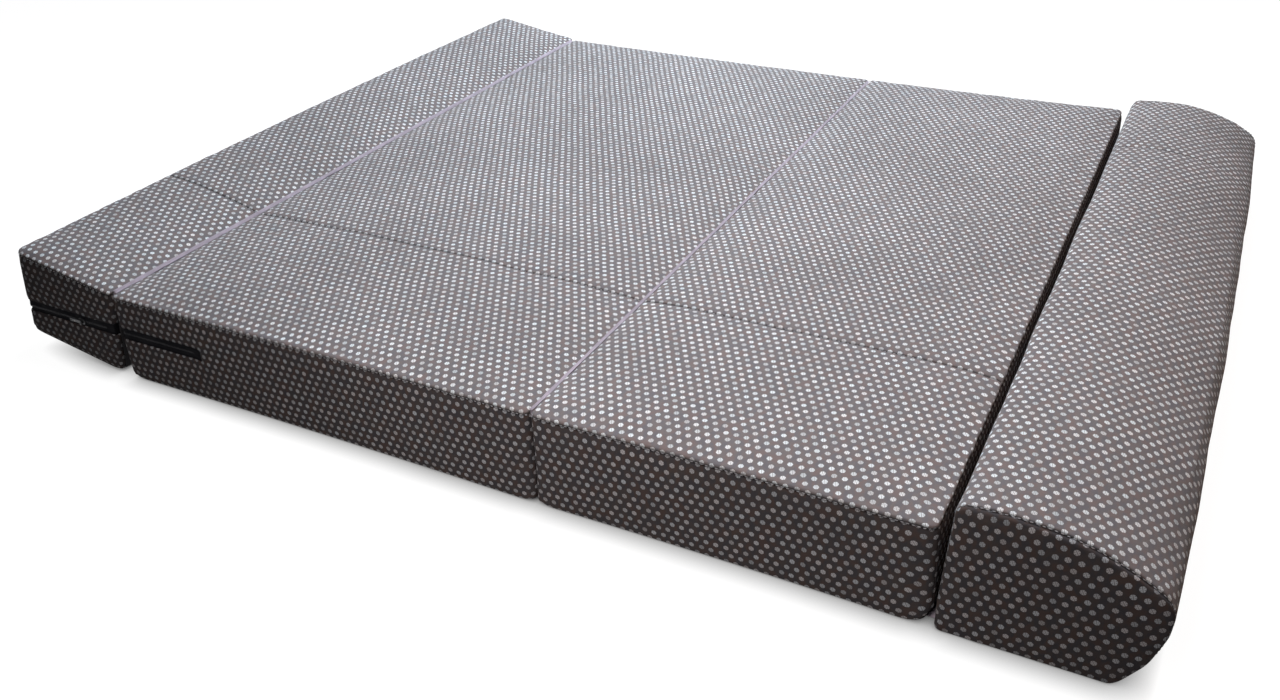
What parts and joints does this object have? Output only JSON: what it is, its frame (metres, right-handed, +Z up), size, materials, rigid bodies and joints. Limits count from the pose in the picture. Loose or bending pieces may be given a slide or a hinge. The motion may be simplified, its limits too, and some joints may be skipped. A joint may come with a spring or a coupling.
{
  "type": "fold-out sofa bed",
  "caption": "Frameless fold-out sofa bed of fabric-covered foam blocks in a row, hinged to fold into a sofa with an upright tapered backrest.",
  "frame": {"origin": "middle of the base block's underside, on the floor", "axes": "+X along the bed from the foot block towards the back block, +Y across its width, +Z up"},
  "size_m": [1.9577, 1.6057, 0.208],
  "materials": {
    "foam": "open-cell foam",
    "cover_top": "woven, pale rosettes on taupe",
    "cover_border": "woven, dim rosettes on dark taupe",
    "lining": "dark plain lining",
    "hinge_tape": "stitched tape",
    "zip_tape": "black woven tape",
    "zip_teeth": "nylon coil",
    "zip_metal": "dark lacquered metal"
  },
  "bodies": {
    "base_block": {"base_core": "foam", "base_top_panel": "cover_top", "base_top_strip": "cover_top", "base_underside": "lining", "base_foot_wall": "lining", "base_seat_wall": "lining", "base_near_border": "cover_border", "base_far_border": "cover_border", "base_zip_tapes": "zip_tape", "base_zip_chain": "zip_teeth", "zip_end_stops": "zip_metal", "foot_hinge_strip": "hinge_tape", "seat_hinge_strip": "hinge_tape"},
    "foot_block": {"foot_core": "foam", "foot_top_panel": "cover_top", "foot_top_strip": "cover_top", "foot_underside": "lining", "foot_inner_wall": "lining", "foot_upper_border": "cover_border", "foot_lower_border": "cover_border", "foot_upper_zip_tape": "zip_tape", "foot_lower_zip_tape": "zip_tape", "foot_zip_chain": "zip_teeth", "foot_hinge_flap": "hinge_tape"},
    "seat_block": {"seat_core": "foam", "seat_top_panel": "cover_top", "seat_top_strip": "cover_top", "seat_underside": "lining", "seat_base_wall": "lining", "seat_back_wall": "cover_border", "seat_near_border": "cover_border", "seat_far_border": "cover_border", "seat_hinge_flap": "hinge_tape", "back_hinge_strip": "hinge_tape"},
    "back_block": {"back_core": "foam", "back_wrap_panel": "cover_top", "back_wrap_strip": "cover_top", "back_near_end": "cover_border", "back_far_end": "cover_border", "back_root_wall": "cover_border", "back_underside": "lining", "back_hinge_flap": "hinge_tape"},
    "zip_slider": {"zip_slider": "zip_metal"},
    "zip_pull": {"zip_pull": "zip_metal"}
  },
  "joints": [
    {"name": "foot_fold", "type": "hinge", "parent": "base_block", "child": "foot_block", "pos_m": [-0.4205, 0, 0.1705], "axis": [0, 1, 0], "range_deg": [-9.4, 170.6]},
    {"name": "seat_fold", "type": "hinge", "parent": "base_block", "child": "seat_block", "pos_m": [0.4205, 0, 0.1705], "axis": [0, -1, 0], "range_deg": [0, 180]},
    {"name": "back_raise", "type": "hinge", "parent": "seat_block", "child": "back_block", "pos_m": [1.016, 0, 0.0012], "axis": [0, 1, 0], "range_deg": [0, 88]},
    {"name": "slider_travel", "type": "slide", "parent": "foot_block", "child": "zip_slider", "axis": [1, 0, 0], "range_m": [-0.1, 0.07]},
    {"name": "pull_swing", "type": "hinge", "parent": "zip_slider", "child": "zip_pull", "pos_m": [-0.5165, -0.8036, 0.093], "axis": [0, 0, 1], "range_deg": [0, 170]}
  ],
  "couplings": [
    {"joint": "back_raise", "follows": "seat_fold", "ratio": 0.488}
  ]
}
